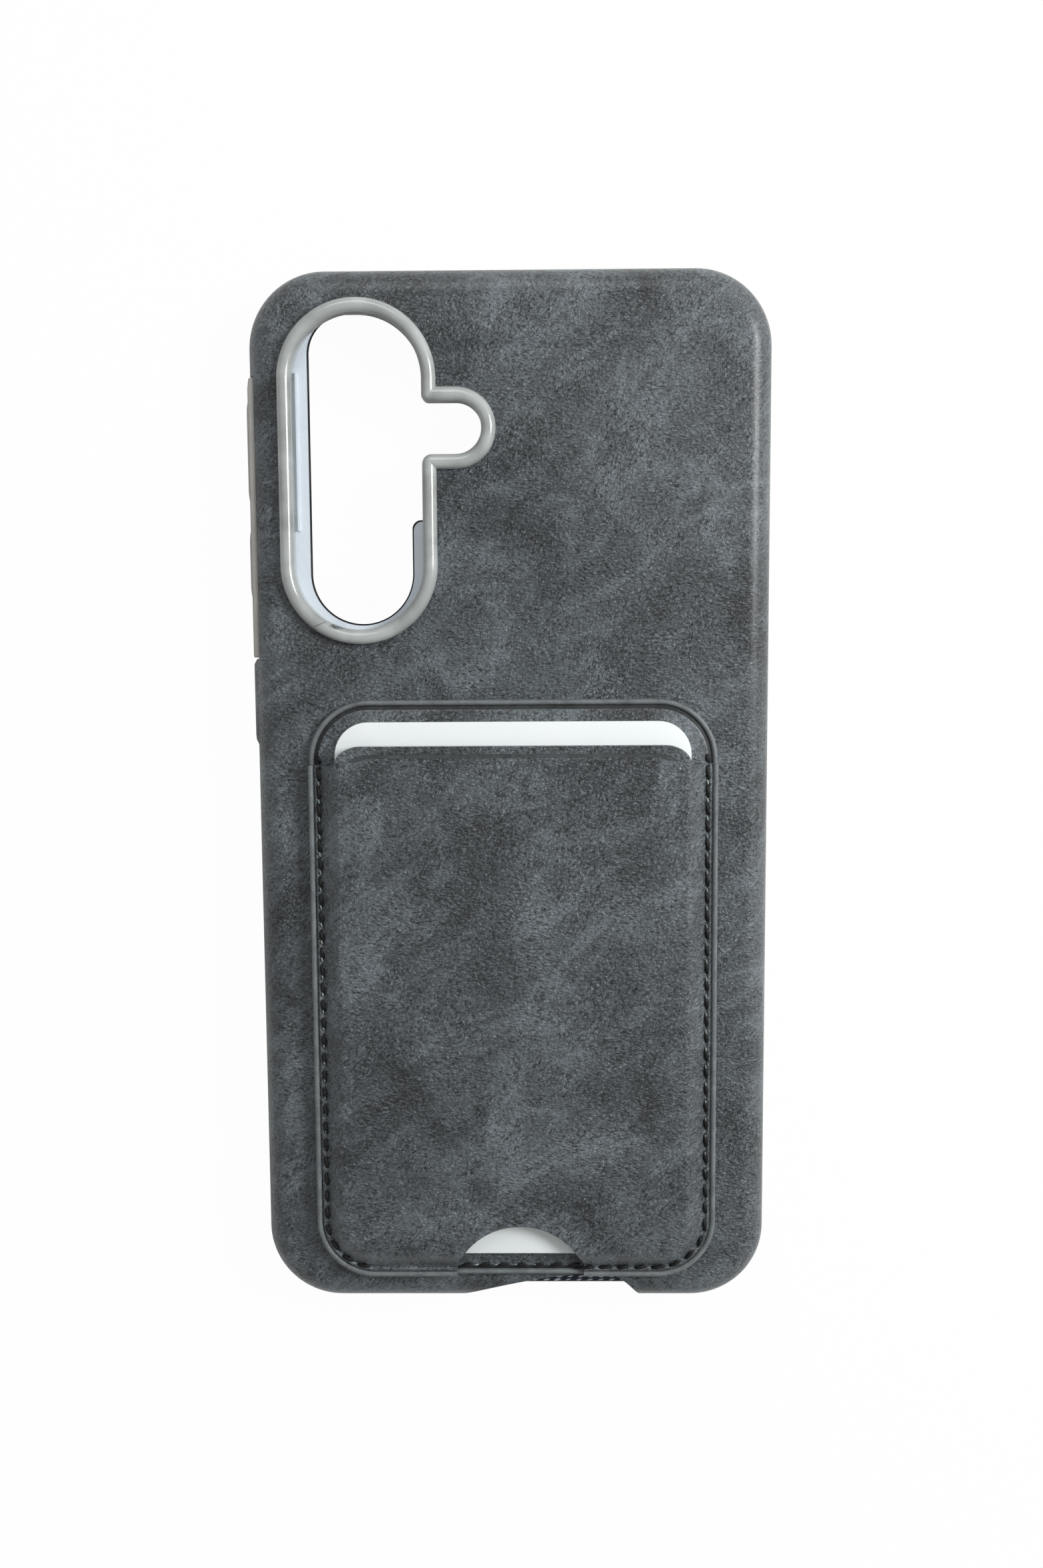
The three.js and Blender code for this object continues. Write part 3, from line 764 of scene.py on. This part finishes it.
def makeFrameMoulding():
    band, edge = caseShape["bandTop"], caseShape["backEdge"]
    wall = caseShape["leather"] + caseShape["glue"]
    inside = wall + caseShape["frameWall"]
    lip = inside + caseShape["gap"] + caseShape["lipOverhang"]
    radius = edge - wall
    centreZ = backZ - edge
    topShare = asin((shellLow.z - centreZ) / radius) / (pi / 2)
    low = caseShape["lipEdge"]
    profile = [
        *quarter(-low, low, low, low, -1, 0, 8),
        (0, band - 0.1), (-0.1, band), (-wall, band), (-wall, centreZ),
        *quarter(-edge, centreZ, radius, radius, 0, topShare, 5),
        (-inside, shellLow.z), (-inside, caseShape["lipHeight"]), (-lip + 0.25, caseShape["lipHeight"]),
        (-lip, caseShape["lipHeight"] - 0.25), (-lip, 0.25), (-lip + 0.25, 0),
    ]
    body = loft("frameMoulding", caseOutline, profile, [frameGrey], 0.8, closed=True)
    root = caseLeft + 1.2
    proud = caseLeft - keyShape["railProud"]
    gap, fade = 0.3, 2.0
    upper = [(root, windowBottom + gap), (root, railTop - gap), (caseLeft, railTop - gap),
             (proud, railTop - fade), (proud, windowBottom + gap)]
    power = windowBottom - keyShape["powerFrom"] - keyShape["powerLength"]
    tailEnd = windowBottom - keyShape["railTail"]
    lower = [(root, tailEnd), (root, railTop - gap), (caseLeft, railTop - gap), (proud, railTop - fade),
             (proud, power), ((caseLeft + proud) / 2, power - 9), (caseLeft - 0.02, tailEnd)]
    for name, plan, top in (("upperRail", upper, shellLow.z), ("lowerRail", lower, band - 0.02)):
        rail = prism(name, plan, low, top)
        soften(rail, 0.25, 30, 3)
        combine(body, rail, way="UNION")
    keyZ = (shellLow.z + caseShape["lipHeight"]) / 2 + keyShape["keyProud"]
    for start, length in keyShape["keys"]:
        pad = sidePad("key", railTop - start - length / 2, keyZ, length, keyShape["keyHeight"],
                      proud, keyShape["keyProud"])
        combine(body, pad, way="UNION")
    combine(body, prism("port", portPlan(portShape["setback"]), portShape["bridge"], backZ + 2))
    shade(body)
    settle(body, "moulded_frame", "side_frame")


makeFrameMoulding()


# Hard shell with the ledge and its short rib, and the lining under it
ribShape = {"length": 24.3, "width": 0.5, "height": 0.4, "gap": 0.3, "fromTop": 8.8}


def makeShellPlate():
    wall = caseShape["leather"] + caseShape["glue"]
    radius, centreZ = caseShape["backEdge"] - wall, backZ - caseShape["backEdge"]
    topShare = asin((shellLow.z - centreZ) / radius) / (pi / 2)
    profile = quarter(-caseShape["backEdge"], centreZ, radius, radius, topShare, 1, 6)
    plate = loft("shellPlate", caseOutline, profile, [shellBlue], 1.2)
    seat = grow(openingOutline, cameraShape["sleeve"] + cameraShape["sleeveGap"])
    ledgeZ = shellLow.z + cameraShape["ledge"]
    seatPlan = [(p.x, p.y) for p in trace(seat, stepsOf(openingOutline, 0.5))]
    ledge = ledgeOutline(0)
    ledgePlan = [(p.x, p.y) for p in trace(ledge, stepsOf(ledge, 0.3))]
    combine(plate, prism("seat", seatPlan, ledgeZ, backZ),
            prism("opening", ledgePlan, 0, backZ),
            prism("port", portPlan(portShape["setback"]), 0, backZ))
    x = openingLeft + ribShape["gap"] + ribShape["width"] / 2
    y = openingTop - ribShape["fromTop"] - ribShape["length"] / 2
    rib = rectangle(ribShape["width"], ribShape["length"], 0.12, x, y)
    top = ledgeZ + ribShape["height"]
    ridge = loft("ledgeRib", rib, [(0, ledgeZ - 0.2), (0, top - 0.1), (-0.1, top)], (), 0.5)
    combine(plate, ridge, way="UNION")
    shade(plate)
    settle(plate, "hard_shell", "back_shell")


def makeLiningSheet():
    outline = grow(caseOutline, liningHigh.x - coverHigh.x)
    sheet = loft("liningSheet", outline, [(0, liningLow.z), (0, liningHigh.z)], [liningDark], 1.2)
    ledge = ledgeOutline(cameraShape["liningPeek"])
    hole = trace(ledge, stepsOf(ledge, 0.3))
    combine(sheet, prism("opening", [(p.x, p.y) for p in hole], 0, backZ),
            prism("port", portPlan(portShape["setback"]), 0, backZ))
    shade(sheet)
    settle(sheet, "microfibre", "lining")


makeShellPlate()
makeLiningSheet()


# Glossy bead round the camera, with its sleeve down to the ledge
def makeRimBead():
    middle = cameraShape["rim"] / 2
    foot = backZ + caseShape["glue"]
    side = backZ + 0.6
    profile = [
        (cameraShape["sleeve"], rimLow.z), (cameraShape["sleeve"], foot), (cameraShape["rim"], foot),
        *quarter(middle, side, middle, rimHigh.z - side, 0, 2, 20),
        (0, (side + rimLow.z) / 2), (0, rimLow.z),
    ]
    bead = loft("rimBead", openingOutline, profile, [rimGloss], 0.5, closed=True)
    shade(bead, 50)
    settle(bead, "rim", "camera_rim")


makeRimBead()


# Card pocket: base panel, pressed front panel, card and stitches
pocketShape = {
    "corner": 9.5,
    "bead": 0.85,
    "beadSteps": 12,
    "beadDrop": 0.45,
    "crease": 0.35,
    "panel": 1.1,
    "stitchInset": 1.7,
    "shoulderInset": 2.0,
    "shoulderWidth": 2.35,
    "roundOff": 0.95,
    "rise": 2.2,
    "mouthFromTop": 7.0,
    "tongue": 3.1,
    "mouthCorner": 4.2,
    "mouthBand": 1.25,
    "mouthCrease": 0.6,
    "creaseDepth": 0.08,
    "creaseAbove": 0.7,   # its lowest point over the flange's end
    "thumbWidth": 20.6,
    "thumbArc": 7.0,
    "thumbFoot": 2.4,
    "thumbShift": 0.7,
}
pocketX = (baseLow.x + baseHigh.x) / 2
pocketY = (baseLow.y + baseHigh.y) / 2
pocketWidth = baseHigh.x - baseLow.x
pocketLength = baseHigh.y - baseLow.y
pocketTop = baseHigh.y
pocketBottom = baseLow.y
baseTop = baseHigh.z
flangeTop = baseTop + pocketShape["panel"]
roofTop = frontHigh.z
pocketOutline = rectangle(pocketWidth, pocketLength, pocketShape["corner"], pocketX, pocketY)
stitchShape = {
    "pitch": 2.8,
    "length": 1.85,
    "thread": 0.32,
    "slant": 0.2,
    "sink": 0.38,
    "arch": 0.16,
    "pucker": 0.26,
    "puckerReach": 0.5,
    "first": 1.3,   # middle of the first stitch under the flange's end
    "above": 0.75,   # and of the one above it, on the base panel
    "besideNotch": 0.6,
    "insideNotch": 1.4,
    "sunkFrom": 7.5,   # past this the bottom seam's left half lies hidden under the bead
}


def beadEdge(z, deeper=0.0, wider=0.0):
    bead, drop = pocketShape["bead"], pocketShape["beadDrop"] + deeper
    end = -bead - pocketShape["crease"] - wider
    crease = [(-bead + (end + bead) * i / 4, z - drop * cos(i * pi / 8) ** 2) for i in range(1, 5)]
    return quarter(-bead / 2, z - drop, bead / 2, drop, 0, 2, pocketShape["beadSteps"]) + crease


def shoulder(z, steps, roundOff=0.0):
    points = []
    for i in range(steps + 1):
        share = i / steps
        wave, arc = (1 - cos(pi * share)) / 2, sin(share * pi / 2)
        rise = pocketShape["rise"] * (0.35 * wave + 0.65 * arc if roundOff else wave)
        width = pocketShape["shoulderWidth"] + roundOff
        points.append((-pocketShape["shoulderInset"] - width * share, z + rise))
    return points


def makeBasePanel():
    rim = beadEdge(baseTop, 0.1, 0.55)
    profile = [(-0.05, baseLow.z), (0, baseLow.z + 0.1), *rim]
    last = pocketShape["beadSteps"] + 1
    # the three strips inside the bead take the painted crease shade
    bands = [1 if 0 < i <= last else 2 if last < i <= last + 3 else 0 for i in range(len(profile))]
    panel = loft("basePanel", pocketOutline, profile, [leather, edgeBead, paintedCreaseShade], 0.5, bands=bands)
    shade(panel, 60)
    settle(panel, "leather", "pocket_base")


def mouthPlan(inset):
    half = pocketWidth / 2
    body = half - pocketShape["shoulderInset"] - pocketShape["shoulderWidth"] - inset
    mouth = pocketTop - pocketShape["mouthFromTop"] - inset
    flange = mouth - pocketShape["tongue"]
    corner = pocketShape["mouthCorner"]
    plan = [(-half - 2, pocketBottom - 2), (half + 2, pocketBottom - 2), (half + 2, flange)]
    steps = 12
    for side, turns in ((1, range(steps + 1)), (-1, range(steps, -1, -1))):
        for step in turns:
            angle = step / steps * pi / 2
            plan.append((side * (body - corner + corner * cos(angle)),
                         flange + pocketShape["tongue"] * sin(angle)))
    plan.append((-half - 2, flange))
    return [(pocketX + x, y) for x, y in plan]


def thumbPlan():
    half, arc = pocketShape["thumbWidth"] / 2, pocketShape["thumbArc"]
    radius = (half ** 2 + arc ** 2) / (2 * arc)
    foot = pocketBottom + pocketShape["thumbFoot"]
    centreY = foot + arc - radius
    x = pocketX + pocketShape["thumbShift"]
    swing = atan2(foot - centreY, half)
    steps = 32
    turns = [swing + (pi - 2 * swing) * i / steps for i in range(steps + 1)]
    plan = [(x - half, pocketBottom - 2), (x + half, pocketBottom - 2)]
    return plan + [(x + radius * cos(turn), centreY + radius * sin(turn)) for turn in turns]


# The seam: down one side, round the bottom and up the other, split where the thumb notch is
def seamPaths():
    inset = pocketShape["stitchInset"]
    ring = trace(grow(pocketOutline, -inset), stepsOf(pocketOutline, 0.25))
    flangeEnd = pocketTop - pocketShape["mouthFromTop"] - pocketShape["tongue"]
    start = max(range(len(ring)), key=lambda i: ring[i].y)
    ordered = ring[start:] + ring[:start]
    run = [p for p in ordered if p.y < flangeEnd - stitchShape["first"]]
    x = pocketX + pocketShape["thumbShift"]
    half = pocketShape["thumbWidth"] / 2
    ends = [Vector((run[i].x, flangeEnd + stitchShape["above"])) for i in (0, -1)]
    above = [[end, end + Vector((0, 0.5))] for end in ends]
    return {
        "leftSeam": ([p for p in run if p.x < baseLow.x + stitchShape["sunkFrom"]], flangeTop),
        "rightSeam": ([p for p in run if p.x > x + half + stitchShape["besideNotch"]][::-1], flangeTop),
        "notchSeam": ([p for p in run if abs(p.x - x) < half - stitchShape["insideNotch"]
                       and p.y < pocketBottom + pocketShape["thumbArc"]], baseTop),
        "leftEndStitch": (above[0], baseTop),
        "rightEndStitch": (above[1], baseTop),
    }


# Places of the needle holes at both ends of each stitch
def holesAlong(points, pitch, length):
    spots, left = [], -length / 2
    for a, b in zip(points, points[1:]):
        run = (b - a).length
        while left <= run:
            spots.append(a.lerp(b, left / run))
            left += length if len(spots) % 2 else pitch - length
        left -= run
    return spots


def makeFrontPanel(holes):
    inset = pocketShape["stitchInset"]
    groove = pocketShape["shoulderInset"] - inset
    turns = [i / 5 - 1 for i in range(10)]
    soft = [(-inset - groove * turn, flangeTop - 0.14 * cos(turn * pi / 2) ** 2) for turn in turns]
    under = shoulder(baseTop, 12)[::-1]
    profile = [
        *under,
        (-pocketShape["shoulderInset"], baseTop), (-0.1, baseTop), (0, baseTop + 0.1),
        *beadEdge(flangeTop),
        *soft,
        *shoulder(flangeTop, 18, pocketShape["roundOff"]),
    ]
    tree = KDTree(len(holes))
    for i, hole in enumerate(holes):
        tree.insert((hole.x, hole.y, 0), i)
    tree.balance()

    def pucker(x, y, z, by):
        if z < flangeTop - 0.3 or by < -pocketShape["shoulderInset"] - 0.3:
            return x, y, z
        _, _, reach = tree.find((x, y, 0))
        return x, y, z - stitchShape["pucker"] * exp(-(reach / stitchShape["puckerReach"]) ** 2)

    start = len(under) + 3
    bands = [1 if start <= i < start + pocketShape["beadSteps"] else 0 for i in range(len(profile))]
    panel = loft("frontPanel", pocketOutline, profile, [leather, edgeBead], 0.3, shape=pucker, bands=bands)
    combine(panel, prism("mouth", mouthPlan(0), 0, roofTop + 2), way="INTERSECT")
    creaseZ = roofTop - pocketShape["creaseDepth"]
    # the crease's cut faces take the darker mouth crease colour: painted shade
    crease = prism("crease", mouthPlan(pocketShape["mouthBand"]), creaseZ, roofTop + 1, [mouthCreaseShade])
    behind = mouthPlan(pocketShape["mouthBand"] + pocketShape["mouthCrease"])
    creaseEnd = pocketTop - pocketShape["mouthFromTop"] - pocketShape["tongue"] + pocketShape["creaseAbove"]
    left, right = pocketX - pocketWidth, pocketX + pocketWidth
    below = [(left, -caseLength), (right, -caseLength), (right, creaseEnd), (left, creaseEnd)]
    combine(crease, prism("behind", behind, 0, roofTop + 2), prism("below", below, 0, roofTop + 2))
    combine(panel, crease, prism("thumb", thumbPlan(), 0, roofTop + 2, [cutEdge]))
    soften(panel, 0.12, 60)
    shade(panel, 45)
    settle(panel, "leather", "pocket_front")


def makeCardBlank():
    width, length = cardHigh.x - cardLow.x, cardHigh.y - cardLow.y
    outline = rectangle(width, length, 5.2, (cardLow.x + cardHigh.x) / 2, (cardLow.y + cardHigh.y) / 2)
    round_ = 0.15
    profile = quarter(-round_, cardLow.z + round_, round_, round_, -1, 0, 3)
    profile += quarter(-round_, cardHigh.z - round_, round_, round_, 0, 1, 3)
    card = loft("cardBlank", outline, profile, [cardWhite], 0.8)
    shade(card, 50)
    settle(card, "card", "card")


# Geometry Nodes tree that sews stitches along a path, with a little seeded unevenness
def stitchTree():
    tree = bpy.data.node_groups.new("sewnStitches", "GeometryNodeTree")
    face = tree.interface
    face.new_socket("Path", in_out="INPUT", socket_type="NodeSocketGeometry")
    sockets = {}
    for label, kind in (("Pitch", "Float"), ("Length", "Float"), ("Thread", "Float"), ("Arch", "Float"),
                        ("Sink", "Float"), ("Seed", "Int"), ("Finish", "Material")):
        sockets[label] = face.new_socket(label, in_out="INPUT", socket_type="NodeSocket" + kind)
    face.new_socket("Stitches", in_out="OUTPUT", socket_type="NodeSocketGeometry")
    nodes, links = tree.nodes, tree.links
    inside = nodes.new("NodeGroupInput")
    outside = nodes.new("NodeGroupOutput")

    def value(label):
        return inside.outputs[label]

    def combineXyz(**parts):
        node = nodes.new("ShaderNodeCombineXYZ")
        for axis, source in parts.items():
            links.new(source, node.inputs[axis])
        return node.outputs[0]

    def times(source, factor):
        node = nodes.new("ShaderNodeMath")
        node.operation = "MULTIPLY"
        links.new(source, node.inputs[0])
        node.inputs[1].default_value = factor
        return node.outputs[0]

    toPoints = nodes.new("GeometryNodeCurveToPoints")
    toPoints.mode = "LENGTH"
    links.new(inside.outputs["Path"], toPoints.inputs["Curve"])
    links.new(value("Pitch"), toPoints.inputs["Length"])
    arch = nodes.new("GeometryNodeCurveQuadraticBezier")
    arch.inputs["Resolution"].default_value = 8
    depth = times(value("Sink"), -1)
    links.new(combineXyz(Z=times(value("Arch"), 2)), arch.inputs["Middle"])
    for socket, half in (("Start", -0.5), ("End", 0.5)):
        along, aside = times(value("Length"), half), times(value("Length"), half * stitchShape["slant"])
        links.new(combineXyz(X=along, Y=aside, Z=depth), arch.inputs[socket])
    ring = nodes.new("GeometryNodeCurvePrimitiveCircle")
    ring.inputs["Resolution"].default_value = 8
    links.new(value("Thread"), ring.inputs["Radius"])
    tube = nodes.new("GeometryNodeCurveToMesh")
    tube.inputs["Fill Caps"].default_value = True
    links.new(arch.outputs[0], tube.inputs["Curve"])
    links.new(ring.outputs[0], tube.inputs["Profile Curve"])
    turn = nodes.new("FunctionNodeAlignEulerToVector")
    turn.axis = "X"
    turn.pivot_axis = "Z"
    links.new(toPoints.outputs["Tangent"], turn.inputs["Vector"])
    uneven = nodes.new("FunctionNodeRandomValue")
    uneven.data_type = "FLOAT_VECTOR"
    uneven.inputs["Min"].default_value = (0.9, 0.88, 0.9)
    uneven.inputs["Max"].default_value = (1.08, 1.1, 1.08)
    links.new(value("Seed"), uneven.inputs["Seed"])
    sewn = nodes.new("GeometryNodeInstanceOnPoints")
    links.new(toPoints.outputs["Points"], sewn.inputs["Points"])
    links.new(tube.outputs[0], sewn.inputs["Instance"])
    links.new(turn.outputs[0], sewn.inputs["Rotation"])
    links.new(uneven.outputs[0], sewn.inputs["Scale"])
    real = nodes.new("GeometryNodeRealizeInstances")
    coated = nodes.new("GeometryNodeSetMaterial")
    links.new(sewn.outputs[0], real.inputs[0])
    links.new(real.outputs[0], coated.inputs["Geometry"])
    links.new(value("Finish"), coated.inputs["Material"])
    links.new(coated.outputs[0], outside.inputs[0])
    return tree, sockets


sewing = stitchTree()
glintShape = {"length": 0.55, "thread": 0.13, "arch": 0.12, "sink": 0.1}


def sew(name, points, z, values, slot="thread"):
    tree, sockets = sewing
    data = bpy.data.curves.new(name, "CURVE")
    data.dimensions = "3D"
    spline = data.splines.new("POLY")
    spline.points.add(len(points) - 1)
    for spot, point in zip(spline.points, points):
        spot.co = (point.x * mm, point.y * mm, z * mm, 1)
    piece = bpy.data.objects.new(name + "Path", data)
    bpy.context.scene.collection.objects.link(piece)
    modifier = piece.modifiers.new("sewing", "NODES")
    modifier.node_group = tree
    for label, value in values.items():
        modifier[sockets[label].identifier] = value
    bpy.context.view_layer.update()
    mesh = bpy.data.meshes.new_from_object(piece.evaluated_get(bpy.context.evaluated_depsgraph_get()))
    bpy.data.objects.remove(piece)
    stitches = bpy.data.objects.new(name, mesh)
    bpy.context.scene.collection.objects.link(stitches)
    shade(stitches, 60)
    settle(stitches, slot)


def makeStitches(paths):
    for seed, (name, (points, z)) in enumerate(paths.items()):
        single = len(points) == 2
        values = {
            "Pitch": stitchShape["pitch"] * mm, "Length": stitchShape["length"] * mm * (0.7 if single else 1),
            "Thread": stitchShape["thread"] * mm, "Arch": stitchShape["arch"] * mm,
            "Sink": stitchShape["sink"] * mm, "Seed": seed, "Finish": threadBlack,
        }
        sew(name, points, z, values)
        if single:
            continue
        # short pale threads halfway between the stitches: painted glints
        shift = round(stitchShape["pitch"] / 2 / (points[1] - points[0]).length)
        values.update({label.capitalize(): size * mm for label, size in glintShape.items()})
        values.update({"Seed": seed + 10, "Finish": glintThread})
        sew(name + "Glints", points[shift:], z, values)


seams = seamPaths()
stitchHoles = []
for seamName in ("leftSeam", "rightSeam"):
    stitchHoles += holesAlong(seams[seamName][0], stitchShape["pitch"], stitchShape["length"])
makeBasePanel()
makeFrontPanel(stitchHoles)
makeCardBlank()
makeStitches(seams)


# Woven edging: lies on the bridge under the port and folds down over its outer face
tapeShape = {
    "thick": 0.4,
    "pickPitch": 1.7,
    "pickLength": 1.15,
    "pick": 0.27,
    "sink": 0.14,
    "rows": ((1.5, 0), (0.95, 1), (0.4, 0)),   # place in from the outer edge, and whether the row is shifted
}


def makeEdgingTape():
    thick, top = tapeShape["thick"], tapeHigh.z
    inside, outside = tapeHigh.y, tapeLow.y
    bridge = top - thick
    side = [
        (inside, bridge), (outside + thick, bridge), (outside + thick, tapeLow.z), (outside, tapeLow.z),
        (outside, top - 0.18), (outside + 0.05, top - 0.06), (outside + 0.18, top),
        (inside - 0.1, top), (inside, top - 0.1),
    ]
    count = len(side)
    points = [(x, y, z) for x in (tapeLow.x, tapeHigh.x) for y, z in side]
    faces = [(i + count, (i + 1) % count + count, (i + 1) % count, i) for i in range(count)]
    faces += [tuple(range(count)), tuple(range(count, 2 * count))[::-1]]
    tape = addMesh("edgingTape", points, faces, [tapeDark])
    shade(tape, 50)
    settle(tape, "tape", "port_tape")
    for row, (inward, odd) in enumerate(tapeShape["rows"]):
        y = outside + inward
        start = tapeLow.x + tapeShape["pickPitch"] * (0.5 + odd / 2)
        path = [Vector((start, y)), Vector((tapeHigh.x - tapeShape["pickPitch"] / 2, y))]
        values = {
            "Pitch": tapeShape["pickPitch"] * mm, "Length": tapeShape["pickLength"] * mm,
            "Thread": tapeShape["pick"] * mm, "Arch": 0.0, "Sink": tapeShape["sink"] * mm,
            "Seed": 30 + row, "Finish": tapePale,
        }
        sew("tapePicks%d" % row, path, top - tapeShape["sink"], values, "tape")


makeEdgingTape()
